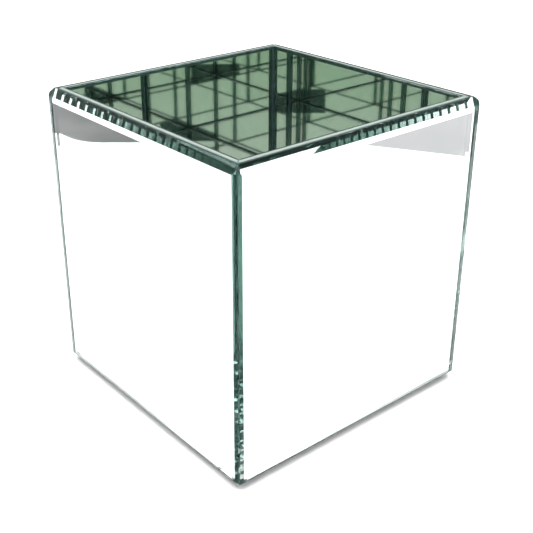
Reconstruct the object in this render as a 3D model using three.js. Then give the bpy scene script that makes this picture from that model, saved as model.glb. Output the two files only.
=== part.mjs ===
// Mirrored glass display cube: an open-topped square box. Every wall is two mirror sheets bonded back to
// back, so that it is a mirror on the outside and on the inside, and the floor is a mirror too.
// Millimetres, +Z up, origin on the standing surface under the middle of the box.

import * as THREE from 'three';
import { ConvexGeometry } from 'three/addons/geometries/ConvexGeometry.js';

// Driving dimensions
const outerWidth = 100;          // across X, over the outer mirror faces
const outerDepth = 100;          // across Y, over the outer mirror faces
const wallHeight = 102;          // of the outer sheets, from their lower edge to the rim
const outerGlass = 3;            // thickness of the outer mirror sheets
const liningGlass = 2;           // thickness of the mirror sheets that line the walls
const bondThickness = 0.5;       // backing paint and adhesive between two sheets
const bondRecess = 0.6;          // how far the bond stops below the rim
const bevelWidth = 4;            // of the whole polished border round each outer face
const bevelDepth = 0.3;          // of the shallow bevel, which makes the inner part of that border
const chamferWidth = 2.3;        // of the steep chamfer, which makes the outer part of it
const chamferDepth = 2.1;        // what the chamfer takes off the sheet's thickness
const seamThickness = 0.4;       // adhesive line between two mitred ends
const seamRecess = 0.3;          // how far an adhesive line stops below the rim
const floorGlass = 2;            // thickness of the mirror floor
const floorSeam = 0.4;           // adhesive line round the mirror floor
const baseGlass = 3;             // thickness of the plate that closes the underside
const baseClearance = 0.2;       // between the base plate's edge and the outer sheets
const footDiameter = 8;
const footThickness = 1;
const footRounding = 0.3;        // radius of the foot's lower edge
const footInset = 12;            // from the outer faces to a foot's centre

// Levels above the standing surface
const wallBottom = footThickness;
const rim = wallBottom + wallHeight;
const seamTop = rim - seamRecess;
const baseTop = wallBottom + baseGlass;
const floorBottom = baseTop + bondThickness;
const floorTop = floorBottom + floorGlass;

// Depths measured inwards from the outer faces
const bondDepth = outerGlass;
const liningDepth = bondDepth + bondThickness;
const wallDepth = liningDepth + liningGlass;
const edgeDepth = bevelDepth + chamferDepth;   // where the flat rim begins
const cornerDepth = edgeDepth / (1 + chamferDepth / chamferWidth);   // where two walls' chamfers meet
const mitreGap = seamThickness / Math.SQRT2;   // what half a seam takes off a mitred sheet's length

function material(color, roughness, metalness) {
  return new THREE.MeshStandardMaterial({ color, roughness, metalness });
}

const outerMirror = () => material(0xe4e9e7, 0.04, 1);
const liningMirror = () => material(0xa9bfa8, 0.05, 1);
const backing = () => material(0x5c6361, 0.7, 0);
const adhesive = () => material(0x16302d, 0.35, 0);
const paintedGlass = () => material(0x3f4646, 0.45, 0);
const clearRubber = () => material(0xd5dcda, 0.3, 0);

// The four walls, each drawn as the front one and turned into place. halfRun is half its length,
// reach is the distance from the middle of the box to its outer face.
const walls = [
  { name: 'front', turn: 0, halfRun: outerWidth / 2, reach: outerDepth / 2 },
  { name: 'right', turn: 1, halfRun: outerDepth / 2, reach: outerWidth / 2 },
  { name: 'back', turn: 2, halfRun: outerWidth / 2, reach: outerDepth / 2 },
  { name: 'left', turn: 3, halfRun: outerDepth / 2, reach: outerWidth / 2 },
];

const cube = new THREE.Group();

function add(name, geometry, look, turn = 0) {
  const mesh = new THREE.Mesh(geometry, look);
  mesh.name = name;
  mesh.rotation.z = turn * Math.PI / 2;
  cube.add(mesh);
  return mesh;
}

const solid = (points) => new ConvexGeometry(points.map(([x, y, z]) => new THREE.Vector3(x, y, z)));

// Four corners of an upright rectangle at one depth in a front wall, shortened at both ends by trim
function upright(wall, depth, trim, bottom, top) {
  const x = wall.halfRun - depth - trim;
  const y = depth - wall.reach;
  return [[-x, y, bottom], [x, y, bottom], [x, y, top], [-x, y, top]];
}

// A flat sheet whose two upright ends are mitred at 45 degrees
function mitredSheet(wall, depth, thickness, trim, bottom, top) {
  return solid([
    ...upright(wall, depth, trim, bottom, top),
    ...upright(wall, depth + thickness, trim, bottom, top),
  ]);
}

// The outer sheet: mitred in the same way, with a bevel and a chamfer all round its outer face
function bevelledSheet(wall) {
  return solid([
    ...upright(wall, 0, bevelWidth, wallBottom + bevelWidth, rim - bevelWidth),
    ...upright(wall, bevelDepth, chamferWidth - bevelDepth, wallBottom + chamferWidth, rim - chamferWidth),
    ...upright(wall, cornerDepth, mitreGap, wallBottom + cornerDepth, rim - cornerDepth),
    ...upright(wall, edgeDepth, mitreGap, wallBottom, rim),
    ...upright(wall, outerGlass, mitreGap, wallBottom, rim),
  ]);
}

// The adhesive line in the mitre at the right-hand end of a front wall. It is given as sections at
// rising depths, each with its lower and upper end.
function mitreSeam(wall, sections) {
  return solid(sections.flatMap(([depth, bottom, top]) => {
    const x = wall.halfRun - depth;
    const y = depth - wall.reach;
    return [bottom, top].flatMap((z) => [[x - mitreGap, y, z], [x, y + mitreGap, z]]);
  }));
}

// A level plate whose edges stand inset from the outer faces
function plate(inset, bottom, thickness) {
  const geometry = new THREE.BoxGeometry(outerWidth - 2 * inset, outerDepth - 2 * inset, thickness);
  return geometry.translate(0, 0, bottom + thickness / 2);
}

// A round bumper, flat on both faces, with a rounded lower edge
function foot(x, y) {
  const radius = footDiameter / 2;
  const steps = 4;
  const profile = [new THREE.Vector2(0, 0)];
  for (let i = 0; i <= steps; i++) {
    const angle = (i / steps) * Math.PI / 2;
    profile.push(new THREE.Vector2(
      radius - footRounding + footRounding * Math.sin(angle),
      footRounding - footRounding * Math.cos(angle),
    ));
  }
  profile.push(new THREE.Vector2(radius, footThickness), new THREE.Vector2(0, footThickness));
  return new THREE.LatheGeometry(profile, 40).rotateX(Math.PI / 2).translate(x, y, 0);
}

// Walls, from the outside in
for (const wall of walls) {
  const next = walls[(wall.turn + 1) % walls.length];
  const corner = `${wall.name}_${next.name}`;
  const lining = mitredSheet(wall, liningDepth, liningGlass, mitreGap, floorBottom, rim);
  const bond = mitredSheet(wall, bondDepth, bondThickness, 0, baseTop, rim - bondRecess);
  const floorEdge = mitredSheet(wall, wallDepth, floorSeam, 0, floorBottom, floorTop - seamRecess);
  const outerSeam = mitreSeam(wall, [
    [cornerDepth, wallBottom + cornerDepth, seamTop - cornerDepth],
    [edgeDepth, wallBottom, seamTop],
    [outerGlass - mitreGap / 2, wallBottom, seamTop],
  ]);
  const liningSeam = mitreSeam(wall, [
    [liningDepth, floorBottom, seamTop],
    [wallDepth - mitreGap / 2, floorBottom, seamTop],
  ]);
  add(`${wall.name}_outer_mirror`, bevelledSheet(wall), outerMirror(), wall.turn);
  add(`${wall.name}_bond_sheet`, bond, backing(), wall.turn);
  add(`${wall.name}_lining_mirror`, lining, liningMirror(), wall.turn);
  add(`${wall.name}_floor_seam`, floorEdge, adhesive(), wall.turn);
  add(`${corner}_outer_seam`, outerSeam, adhesive(), wall.turn);
  add(`${corner}_lining_seam`, liningSeam, adhesive(), wall.turn);
}

// Bottom, from the underside up
add('base_plate', plate(bondDepth + baseClearance, wallBottom, baseGlass), paintedGlass());
add('base_bond_sheet', plate(liningDepth, baseTop, bondThickness), backing());
add('floor_mirror', plate(wallDepth + floorSeam, floorBottom, floorGlass), liningMirror());

// Feet under the base plate
for (const [side, x] of [['left', -1], ['right', 1]]) {
  for (const [end, y] of [['front', -1], ['back', 1]]) {
    const at = [x * (outerWidth / 2 - footInset), y * (outerDepth / 2 - footInset)];
    add(`${end}_${side}_foot`, foot(...at), clearRubber());
  }
}

export default cube;
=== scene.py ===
"""Looks of the mirrored glass display cube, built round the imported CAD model. Metres, +Z up."""

import math

import bpy
from mathutils import Euler, Matrix, Vector


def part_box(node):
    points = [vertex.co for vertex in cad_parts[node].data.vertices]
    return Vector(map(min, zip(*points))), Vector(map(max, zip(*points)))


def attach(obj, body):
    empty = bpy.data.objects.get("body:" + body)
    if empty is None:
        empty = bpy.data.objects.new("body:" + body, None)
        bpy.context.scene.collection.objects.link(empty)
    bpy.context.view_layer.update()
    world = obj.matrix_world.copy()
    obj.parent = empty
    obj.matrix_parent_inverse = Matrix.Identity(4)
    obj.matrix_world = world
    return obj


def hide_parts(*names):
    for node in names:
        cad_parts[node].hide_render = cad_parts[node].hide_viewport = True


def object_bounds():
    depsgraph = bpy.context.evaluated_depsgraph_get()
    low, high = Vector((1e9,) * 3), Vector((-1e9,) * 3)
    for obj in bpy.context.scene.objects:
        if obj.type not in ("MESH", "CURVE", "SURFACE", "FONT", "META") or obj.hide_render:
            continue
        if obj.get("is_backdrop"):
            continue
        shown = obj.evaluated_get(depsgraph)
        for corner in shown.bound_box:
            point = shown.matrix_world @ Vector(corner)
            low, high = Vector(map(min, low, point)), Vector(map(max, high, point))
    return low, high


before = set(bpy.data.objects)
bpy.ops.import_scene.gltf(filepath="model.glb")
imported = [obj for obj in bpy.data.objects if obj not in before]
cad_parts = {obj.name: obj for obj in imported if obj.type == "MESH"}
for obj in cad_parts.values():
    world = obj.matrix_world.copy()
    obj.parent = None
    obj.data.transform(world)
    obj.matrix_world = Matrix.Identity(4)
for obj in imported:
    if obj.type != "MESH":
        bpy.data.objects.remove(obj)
cad_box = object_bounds()
scene = bpy.context.scene

MM = 0.001

# Sizes that the boxes of the CAD nodes don't give. The first four are the CAD model's own.
BEVEL_WIDTH = 4 * MM         # the whole polished border round an outer face
BEVEL_DEPTH = 0.3 * MM       # of the shallow bevel, the inner part of that border
CHAMFER_WIDTH = 2.3 * MM     # of the steep chamfer, the outer part of it
CHAMFER_DEPTH = 2.1 * MM
EDGE_DEPTH = BEVEL_DEPTH + CHAMFER_DEPTH
CORNER_DEPTH = EDGE_DEPTH / (1 + CHAMFER_DEPTH / CHAMFER_WIDTH)
ARRIS = 0.2 * MM             # seamed edge round the back of a sheet
GROUND_TO = 0.9 * MM         # what the ground part of the lining's top leaves polished, on the inside
ROUNDING_WIDTH = 0.3 * MM    # of the polished edge between the lining's top and its inner face
ROUNDING_DROP = 0.25 * MM
BARE_END = 1.8 * MM          # how far the silver of the lining stops short of an upright end
BARE_TOP = 1.5 * MM          # of its upper edge
BARE_BOTTOM = 2.4 * MM       # of its lower edge, which stands lower than the floor's top
BARE_FLOOR = 0.7 * MM        # and the floor's silver of the floor's edge
COAT_GAP = 0.03 * MM         # between a silvered face and the bond behind it

WALLS = ("front", "right", "back", "left")
SIDES = ("bottom", "end", "top", "end")
CORNER_SIGNS = ((-1, -1), (1, -1), (1, 1), (-1, 1))


# ---------------------------------------------------------------- camera

CAMERA_AZIMUTH = -38.712
CAMERA_ELEVATION = 24.905
CAMERA_ROLL = -0.548
CAMERA_DISTANCE = 0.317133
CAMERA_LENS = 62.617
CAMERA_PAN = (-0.007628, -0.000795)   # sideways and up, from the line through the middle of the box
CAMERA_SHIFT = (0.0556, -0.0478)


def add_camera():
    az, el = math.radians(CAMERA_AZIMUTH), math.radians(CAMERA_ELEVATION)
    turn = Euler((math.pi / 2 - el, 0, az)).to_matrix()
    data = bpy.data.cameras.new("camera")
    data.lens = CAMERA_LENS
    data.shift_x, data.shift_y = CAMERA_SHIFT
    data.clip_start = 0.01
    camera = bpy.data.objects.new("camera", data)
    pan = turn @ Vector((*CAMERA_PAN, CAMERA_DISTANCE))
    roll = Matrix.Rotation(math.radians(CAMERA_ROLL), 4, "Z")
    middle = Vector((0, 0, cad_box[1][2] / 2))
    camera.matrix_world = Matrix.Translation(middle + pan) @ turn.to_4x4() @ roll
    scene.collection.objects.link(camera)
    scene.camera = camera


# ---------------------------------------------------------------- materials

def new_material(name):
    material = bpy.data.materials.new(name)
    material.use_nodes = True
    tree = material.node_tree
    return material, tree, tree.nodes["Principled BSDF"]


def noise(tree, scale, detail=3.0, stretch=(1, 1, 1)):
    """A noise value in the object's own coordinates, scale in features per metre."""
    place = tree.nodes.new("ShaderNodeTexCoord")
    mapping = tree.nodes.new("ShaderNodeMapping")
    mapping.inputs["Scale"].default_value = stretch
    texture = tree.nodes.new("ShaderNodeTexNoise")
    texture.inputs["Scale"].default_value = scale
    texture.inputs["Detail"].default_value = detail
    tree.links.new(place.outputs["Object"], mapping.inputs["Vector"])
    tree.links.new(mapping.outputs["Vector"], texture.inputs["Vector"])
    return texture.outputs["Fac"]


def ramp(tree, value, stops):
    """Colours or greys against a value, as (position, colour) stops."""
    node = tree.nodes.new("ShaderNodeValToRGB")
    elements = node.color_ramp.elements
    while len(elements) < len(stops):
        elements.new(0.5)
    for element, (position, colour) in zip(elements, stops):
        element.position = position
        element.color = (*colour, 1) if isinstance(colour, tuple) else (colour, colour, colour, 1)
    tree.links.new(value, node.inputs["Fac"])
    return node.outputs["Color"]


def bump(tree, shader, height, strength, distance):
    node = tree.nodes.new("ShaderNodeBump")
    node.inputs["Strength"].default_value = strength
    node.inputs["Distance"].default_value = distance
    tree.links.new(height, node.inputs["Height"])
    tree.links.new(node.outputs["Normal"], shader.inputs["Normal"])


GLASS_IOR = 1.52


def glass_material(name, colour):
    """Polished float glass. Real glass has no specular tint: this one deepens the dark parts of the edges."""
    material, tree, shader = new_material(name)
    shader.inputs["Transmission Weight"].default_value = 1.0
    shader.inputs["IOR"].default_value = GLASS_IOR
    shader.inputs["Roughness"].default_value = 0.0
    shader.inputs["Specular Tint"].default_value = (0.35, 0.75, 0.66, 1)
    paler = tuple(0.5 + 0.5 * c for c in colour)
    tint = ramp(tree, noise(tree, 60), [(0.3, colour), (0.7, paler)])
    tree.links.new(tint, shader.inputs["Base Color"])
    return material


def ground_material(name, colour, paler, frost):
    """Glass edge ground smooth, not polished. Frost is the share of light that goes through it."""
    material, tree, shader = new_material(name)
    shader.inputs["Transmission Weight"].default_value = frost
    shader.inputs["IOR"].default_value = GLASS_IOR
    grain = noise(tree, 4000)
    tree.links.new(ramp(tree, grain, [(0.3, 0.25), (0.7, 0.5)]), shader.inputs["Roughness"])
    tint = ramp(tree, noise(tree, 300), [(0.3, colour), (0.7, paler)])
    tree.links.new(tint, shader.inputs["Base Color"])
    bump(tree, shader, grain, 0.3, 0.02 * MM)
    return material


def silver_material(name, colour):
    """Silvering seen through the glass, faintly clouded. Its colour also stands for what glass absorbs."""
    material, tree, shader = new_material(name)
    shader.inputs["Metallic"].default_value = 1.0
    shader.inputs["Roughness"].default_value = 0.0
    dimmer = tuple(0.985 * c for c in colour)
    tint = ramp(tree, noise(tree, 90, 5), [(0.35, dimmer), (0.65, colour)])
    tree.links.new(tint, shader.inputs["Base Color"])
    return material


def plain_material(name, colour, roughness, scale=600, spread=0.25):
    """Opaque paint or adhesive with a fine mottle."""
    material, tree, shader = new_material(name)
    mottle = noise(tree, scale, 4)
    dark, light = (tuple(c * k for c in colour) for k in (1 - spread, 1 + spread))
    tree.links.new(ramp(tree, mottle, [(0.3, dark), (0.7, light)]), shader.inputs["Base Color"])
    shader.inputs["Roughness"].default_value = roughness
    bump(tree, shader, mottle, 0.2, 0.05 * MM)
    return material


def clear_material(name):
    """A mitred end that the adhesive joins optically to the next sheet: light goes straight through."""
    material, tree, shader = new_material(name)
    tree.nodes.remove(shader)
    clear = tree.nodes.new("ShaderNodeBsdfTransparent")
    tree.links.new(clear.outputs["BSDF"], tree.nodes["Material Output"].inputs["Surface"])
    return material


def adhesive_material(name, colour, low, high):
    """Clear adhesive with streaks: see-through where the noise is under low, solid where it is over high."""
    material, tree, shader = new_material(name)
    shader.inputs["Base Color"].default_value = (*colour, 1)
    shader.inputs["Roughness"].default_value = 0.3
    clear = tree.nodes.new("ShaderNodeBsdfTransparent")
    mix = tree.nodes.new("ShaderNodeMixShader")
    streaks = ramp(tree, noise(tree, 500, 4, (1, 1, 0.35)), [(low, 0.0), (high, 1.0)])
    tree.links.new(streaks, mix.inputs["Fac"])
    tree.links.new(clear.outputs["BSDF"], mix.inputs[1])
    tree.links.new(shader.outputs["BSDF"], mix.inputs[2])
    tree.links.new(mix.outputs["Shader"], tree.nodes["Material Output"].inputs["Surface"])
    return material


# ---------------------------------------------------------------- mesh helpers

def turned_box(node, turn):
    """The box of a wall's node, turned so that the wall is the front one."""
    low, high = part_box(node)
    back = Matrix.Rotation(-turn * math.pi / 2, 3, "Z")
    a, b = back @ low, back @ high
    return Vector(map(min, a, b)), Vector(map(max, a, b))


def link_mesh(name, verts, faces, slots, materials):
    mesh = bpy.data.meshes.new(name)
    mesh.from_pydata(verts, [], faces)
    for material in materials:
        mesh.materials.append(material)
    for polygon, slot in zip(mesh.polygons, slots):
        polygon.material_index = slot
    mesh.validate()
    piece = bpy.data.objects.new(name, mesh)
    scene.collection.objects.link(piece)
    return piece


def sheet_mesh(name, rings, low, high, turn, materials, slot_of):
    """A sheet as rings of four corners from its outer face inwards, closed by a face at each end.
    A ring is (depth, what it takes off the ends, off the bottom, off the top)."""
    verts, faces, slots = [], [], []
    spin = Matrix.Rotation(turn * math.pi / 2, 3, "Z")
    for depth, ends, lower, upper in rings:
        x, y = high.x - ends, low.y + depth
        bottom, top = low.z + lower, high.z - upper
        corners = [(-x, y, bottom), (x, y, bottom), (x, y, top), (-x, y, top)]
        verts += [spin @ Vector(corner) for corner in corners]
    faces.append((0, 1, 2, 3))
    slots.append(slot_of(0, "outer"))
    for k in range(len(rings) - 1):
        for i, side in enumerate(SIDES):
            j = (i + 1) % 4
            faces.append((4 * k + i, 4 * (k + 1) + i, 4 * (k + 1) + j, 4 * k + j))
            slots.append(slot_of(k, side))
    last = 4 * (len(rings) - 1)
    faces.append((last + 3, last + 2, last + 1, last))
    slots.append(slot_of(len(rings) - 1, "inner"))
    return link_mesh(name, verts, faces, slots, materials)


# Material slots of a sheet. JOINT is on what adhesive touches. EDGE is a dark colour on an outer sheet's flat
# top and painted contact shadow on the lower part of its bottom chamfer, the ground edge on a lining sheet,
# and the adhesive seen through the floor's bare strip, made pale partly as a painted highlight.
GLASS, SILVER, JOINT, EDGE = range(4)


def outer_sheet(wall, turn, materials):
    """Glass with its polished border, silvered behind. The mitred ends pass light on to the next sheet."""
    node = f"{wall}_outer_mirror"
    low, high = turned_box(node, turn)
    thickness = high.y - low.y - COAT_GAP
    gap = -low.y - CORNER_DEPTH - high.x   # what half a mitre's adhesive takes off the sheet's end
    high.x += CORNER_DEPTH                 # from where the chamfers meet out to the box's corner
    rings = [
        (0, BEVEL_WIDTH - gap, BEVEL_WIDTH, BEVEL_WIDTH),
        (BEVEL_DEPTH, CHAMFER_WIDTH - gap, CHAMFER_WIDTH, CHAMFER_WIDTH),
        (CORNER_DEPTH, CORNER_DEPTH, CORNER_DEPTH, CORNER_DEPTH),
        (EDGE_DEPTH, EDGE_DEPTH, 0, 0),
        (thickness - ARRIS, thickness - ARRIS, 0, 0),
        (thickness, thickness, ARRIS, ARRIS),
    ]

    def slot_of(ring, side):
        if side == "inner":
            return SILVER
        if side == "end" and ring > 1:
            return JOINT
        # EDGE here is painted contact shadow on the lower part of the bottom chamfer, and a plain dark colour
        # on the flat top
        if side == "bottom" and ring == 2 or side == "top" and ring > 2:
            return EDGE
        return GLASS

    piece = sheet_mesh(f"{wall}_outer_sheet", rings, low, high, turn, materials, slot_of)
    return finish_piece(piece, "outer_mirror", node)


def lining_sheet(wall, turn, materials):
    """Glass silvered on the side that faces the bond, with a bare strip round the silver."""
    node = f"{wall}_lining_mirror"
    low, high = turned_box(node, turn)
    thickness = high.y - low.y
    rings = [
        (COAT_GAP, COAT_GAP + BARE_END, BARE_BOTTOM, BARE_TOP),
        (COAT_GAP, COAT_GAP, 0, ARRIS),
        (ARRIS, ARRIS, 0, 0),
        (thickness - GROUND_TO, thickness - GROUND_TO, 0, 0),
        (thickness - ROUNDING_WIDTH, thickness - ROUNDING_WIDTH, 0, 0),
        (thickness, thickness, 0, ROUNDING_DROP),
    ]

    def slot_of(ring, side):
        if side == "outer":
            return SILVER
        if ring == 0 or side in ("end", "bottom"):
            return JOINT
        return EDGE if side == "top" and ring < 3 else GLASS

    piece = sheet_mesh(f"{wall}_lining_sheet", rings, low, high, turn, materials, slot_of)
    return finish_piece(piece, "lining_mirror", node)


def floor_sheet(materials):
    """The mirror floor, silvered underneath, with a bare strip round the silver."""
    low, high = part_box("floor_mirror")
    verts = []
    for inset, z in ((BARE_FLOOR, low.z + COAT_GAP), (0, low.z + COAT_GAP), (0, high.z)):
        verts += [(sx * (high.x - inset), sy * (high.y - inset), z) for sx, sy in CORNER_SIGNS]
    faces, slots = [(3, 2, 1, 0), (8, 9, 10, 11)], [SILVER, GLASS]
    for row, slot in ((0, EDGE), (4, JOINT)):
        for i in range(4):
            j = (i + 1) % 4
            faces.append((row + i, row + j, row + 4 + j, row + 4 + i))
            slots.append(slot)
    piece = link_mesh("floor_sheet", verts, faces, slots, materials)
    return finish_piece(piece, "lining_mirror", "floor_mirror")


def finish_piece(piece, slot, *nodes):
    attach(piece, "root")
    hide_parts(*nodes)
    return piece


def bumper_foot(node, material):
    """A soft round bumper, domed a little where it meets the table."""
    low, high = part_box(node)
    centre, radius, height = (low + high) / 2, (high.x - low.x) / 2, high.z - low.z
    steps, around = 8, 64
    flat, dome, neck = 0.9, 0.45, 0.97     # of the radius, of the height, of the radius
    profile = []
    for step in range(steps + 1):
        angle = step / steps * math.pi / 2
        out, up = flat + (1 - flat) * math.sin(angle), dome * (1 - math.cos(angle))
        profile.append((radius * out, height * up))
    profile.append((radius * neck, height))
    verts = [(centre.x, centre.y, low.z), (centre.x, centre.y, high.z)]
    for r, z in profile:
        for k in range(around):
            angle = 2 * math.pi * k / around
            verts.append((centre.x + r * math.cos(angle), centre.y + r * math.sin(angle), low.z + z))
    faces = []
    first, last = 2, 2 + (len(profile) - 1) * around
    for k in range(around):
        n = (k + 1) % around
        faces.append((0, first + n, first + k))
        for row in range(first, last, around):
            faces.append((row + k, row + n, row + around + n, row + around + k))
        faces.append((1, last + k, last + n))
    piece = link_mesh(node.replace("foot", "bumper"), verts, faces, [0] * len(faces), [material])
    return finish_piece(piece, "clear_rubber", node)


# ---------------------------------------------------------------- stage

# Brightness of the studio against the sine of the height above the horizon: white at the level of the
# table and below it, a dimmer room above that, and a soft light overhead
STUDIO = ((0.04, 1.3), (0.12, 0.6), (0.72, 0.6), (0.84, 5.6))

FLOOR_HALF = 3.0
CARD_LEVEL = 0.5 * MM

# Two grey cards on the table, in metres. Their near edges lie where the mirrors show them as the photo's
# grey patches. The left one is rounded at the corner nearest the box.
LEFT_CARD_CORNER = (-0.176, 0.262)
LEFT_CARD_RADIUS = 0.03
LEFT_CARD_REST = ((-0.172, 0.4), (-0.2, 0.8), (-0.9, 0.6), (-0.6, -0.1))
RIGHT_CARD = ((0.9, -0.9), (0.9, -0.134), (0.27, -0.134), (0.15, -0.343))

CAMERA_BODY_WIDTH, CAMERA_BODY_HEIGHT = 0.072, 0.032
CAMERA_BODY_BEHIND = 2 * MM


def stage_sheet(name, corners, level, material):
    verts = [(x, y, level) for x, y in corners]
    piece = link_mesh(name, verts, [tuple(range(len(corners)))], [0], [material])
    piece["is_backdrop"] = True
    return piece


def reflected_only(piece):
    piece.visible_camera = False
    piece.visible_diffuse = False
    piece.visible_shadow = False


def add_world():
    world = bpy.data.worlds.new("studio")
    scene.world = world
    world.use_nodes = True
    tree = world.node_tree
    direction = tree.nodes.new("ShaderNodeTexCoord")
    parts = tree.nodes.new("ShaderNodeSeparateXYZ")
    tree.links.new(direction.outputs["Generated"], parts.inputs["Vector"])
    brightest = max(level for _, level in STUDIO)
    levels = ramp(tree, parts.outputs["Z"], [(height, level / brightest) for height, level in STUDIO])
    background = tree.nodes["Background"]
    tree.links.new(levels, background.inputs["Color"])
    background.inputs["Strength"].default_value = brightest


def rounded_corner(before, corner, after, radius, steps=16):
    """Points of the arc that rounds a left turn in an outline."""
    along, onward = Vector(corner) - Vector(before), Vector(after) - Vector(corner)
    heading = math.atan2(along.y, along.x)
    turn = math.atan2(onward.y, onward.x) - heading
    start = Vector(corner) - radius * math.tan(turn / 2) * along.normalized()
    centre = start + radius * Vector((-math.sin(heading), math.cos(heading)))
    angles = [heading + turn * step / steps for step in range(steps + 1)]
    return [(centre.x + radius * math.sin(a), centre.y - radius * math.cos(a)) for a in angles]


def add_table():
    corners = [(sx * FLOOR_HALF, sy * FLOOR_HALF) for sx, sy in CORNER_SIGNS]
    stage_sheet("floor", corners, 0, plain_material("floor", (0.94, 0.94, 0.94), 0.6, 40, 0.02))
    dark = plain_material("dark_table", (0.126, 0.12, 0.123), 0.8, 9, 0.5)
    pale = plain_material("pale_table", (0.31, 0.29, 0.303), 0.8, 9, 0.12)
    arc = rounded_corner(LEFT_CARD_REST[-1], LEFT_CARD_CORNER, LEFT_CARD_REST[0], LEFT_CARD_RADIUS)
    reflected_only(stage_sheet("dark_table", [*arc, *LEFT_CARD_REST], CARD_LEVEL, dark))
    reflected_only(stage_sheet("pale_table", RIGHT_CARD, CARD_LEVEL, pale))


def add_camera_body():
    """What the mirrors show of whoever takes the picture: a dark card just behind the camera."""
    half = Vector((CAMERA_BODY_WIDTH, CAMERA_BODY_HEIGHT)) / 2
    place = scene.camera.matrix_world
    verts = [place @ Vector((sx * half.x, sy * half.y, CAMERA_BODY_BEHIND)) for sx, sy in CORNER_SIGNS]
    dark = plain_material("camera_body", (0.016, 0.028, 0.028), 0.9)
    body = link_mesh("camera_body", verts, [(0, 1, 2, 3)], [0], [dark])
    body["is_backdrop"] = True
    reflected_only(body)


# ---------------------------------------------------------------- build

add_camera()
add_world()
add_table()
add_camera_body()

outer_glass = glass_material("outer_glass", (0.95, 1, 0.98))
outer_silver = silver_material("outer_silver", (0.841, 0.8765, 0.866))
lining_glass = glass_material("lining_glass", (0.985, 1, 0.985))
lining_silver = silver_material("lining_silver", (0.943, 0.965, 0.945))
ground = ground_material("ground_edge", (0.25, 0.32, 0.285), (0.30, 0.38, 0.34), 0.2)
clear = clear_material("optical_joint")
joint = plain_material("joint_adhesive", (0.07, 0.145, 0.125), 0.4)
bond = plain_material("bond", (0.05, 0.06, 0.06), 0.7)
# Adhesive of the floor seams, its own colour made pale partly as a painted highlight along the seam lines
pale_glue_and_highlight = plain_material("pale_floor_glue_and_painted_highlight", (0.34, 0.44, 0.39), 0.4)
# Near-black: painted contact shadow along the bottom chamfer of each outer sheet, and the dark colour of its
# flat top
dark_rim_and_shadow = plain_material("dark_rim_and_painted_shadow", (0.016, 0.022, 0.021), 0.5)
paint = plain_material("backing_paint", (0.16, 0.18, 0.18), 0.5)
seam = adhesive_material("clear_adhesive", (0.02, 0.07, 0.06), 0.4, 0.6)
rubber = ground_material("clear_rubber", (0.85, 0.9, 0.89), (0.93, 0.96, 0.95), 0.9)

for turn, wall in enumerate(WALLS):
    outer_sheet(wall, turn, (outer_glass, outer_silver, clear, dark_rim_and_shadow))
    lining_sheet(wall, turn, (lining_glass, lining_silver, joint, ground))
floor_sheet((lining_glass, lining_silver, joint, pale_glue_and_highlight))
for name in list(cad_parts):
    if name.endswith("_foot"):
        bumper_foot(name, rubber)

LOOKS = {
    "outer_seam": seam, "lining_seam": joint, "floor_seam": pale_glue_and_highlight, "bond_sheet": bond, "base_plate": paint,
}
for name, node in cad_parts.items():
    for ending, material in LOOKS.items():
        if name.endswith(ending):
            node.data.materials.clear()
            node.data.materials.append(material)

scene.cycles.max_bounces = 128
scene.cycles.glossy_bounces = 64
scene.cycles.transmission_bounces = 128
scene.cycles.transparent_max_bounces = 64
scene.cycles.diffuse_bounces = 4
scene.view_settings.view_transform = "Standard"

boxes = {"cad": cad_box, "visual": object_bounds()}
{name: [list(corner) for corner in box] for name, box in boxes.items()}
